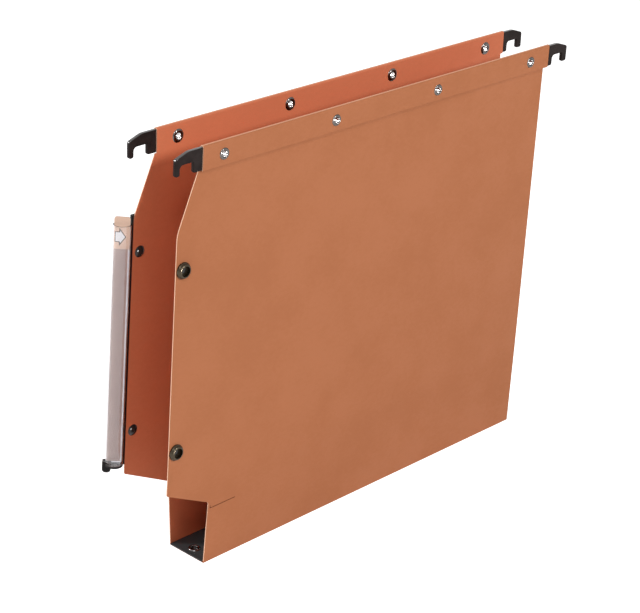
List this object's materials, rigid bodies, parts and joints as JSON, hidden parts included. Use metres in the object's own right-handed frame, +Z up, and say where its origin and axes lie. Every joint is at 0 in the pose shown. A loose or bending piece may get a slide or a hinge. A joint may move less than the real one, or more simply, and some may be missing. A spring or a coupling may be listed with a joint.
{
  "type": "hanging file folder",
  "caption": "Lateral-cabinet hanging file folder: creased card leaves on a flat base, hemmed round steel bars with rail hooks, with press studs and a slide-in label holder.",
  "frame": {"origin": "on the underside of the base, midway between the two cabinet rails and the two leaves", "axes": "+X along the hanging bars from the label end to the plain end, +Y from the front leaf to the rear leaf, +Z up"},
  "size_m": [0.3609, 0.0498, 0.274],
  "materials": {
    "card": "matte",
    "bar_steel": "satin",
    "hook_plastic": "satin",
    "eyelet_nickel": "polished",
    "stud_cap": "gloss",
    "stud_metal": "satin",
    "rivet_metal": "gloss",
    "base_plastic": "satin",
    "holder_plastic": "satin",
    "lens": "gloss",
    "label_paper": "matte"
  },
  "bodies": {
    "base": {"base_card": "card", "base_strip": "base_plastic", "base_rivet_label_end": "rivet_metal", "base_rivet_plain_end": "rivet_metal"},
    "front_leaf": {"front_panel": "card", "front_bar": "bar_steel", "front_hook_label_end": "hook_plastic", "front_hook_plain_end": "hook_plastic", "front_eyelet_1": "eyelet_nickel", "front_eyelet_2": "eyelet_nickel", "front_eyelet_3": "eyelet_nickel", "front_eyelet_4": "eyelet_nickel", "front_socket_upper": "stud_metal", "front_socket_lower": "stud_metal", "front_socket_cap_upper": "stud_cap", "front_socket_cap_lower": "stud_cap"},
    "rear_leaf": {"rear_panel": "card", "rear_bar": "bar_steel", "rear_hook_label_end": "hook_plastic", "rear_hook_plain_end": "hook_plastic", "rear_eyelet_1": "eyelet_nickel", "rear_eyelet_2": "eyelet_nickel", "rear_eyelet_3": "eyelet_nickel", "rear_eyelet_4": "eyelet_nickel", "rear_stud_upper": "stud_metal", "rear_stud_lower": "stud_metal", "rear_stud_cap_upper": "stud_cap", "rear_stud_cap_lower": "stud_cap", "label_carrier": "holder_plastic", "label_lens": "lens"},
    "label_insert": {"label_card": "label_paper"}
  },
  "joints": [
    {"name": "front_crease", "type": "hinge", "parent": "base", "child": "front_leaf", "pos_m": [0, -0.0147, 0.0003], "axis": [1, 0, 0], "range_deg": [-3.3, 80]},
    {"name": "rear_crease", "type": "hinge", "parent": "base", "child": "rear_leaf", "pos_m": [0, 0.0147, 0.0003], "axis": [-1, 0, 0], "range_deg": [-3.3, 80]},
    {"name": "label_slide", "type": "slide", "parent": "rear_leaf", "child": "label_insert", "axis": [0.0282, -0.0049, 0.9996], "range_m": [0, 0.033]}
  ]
}
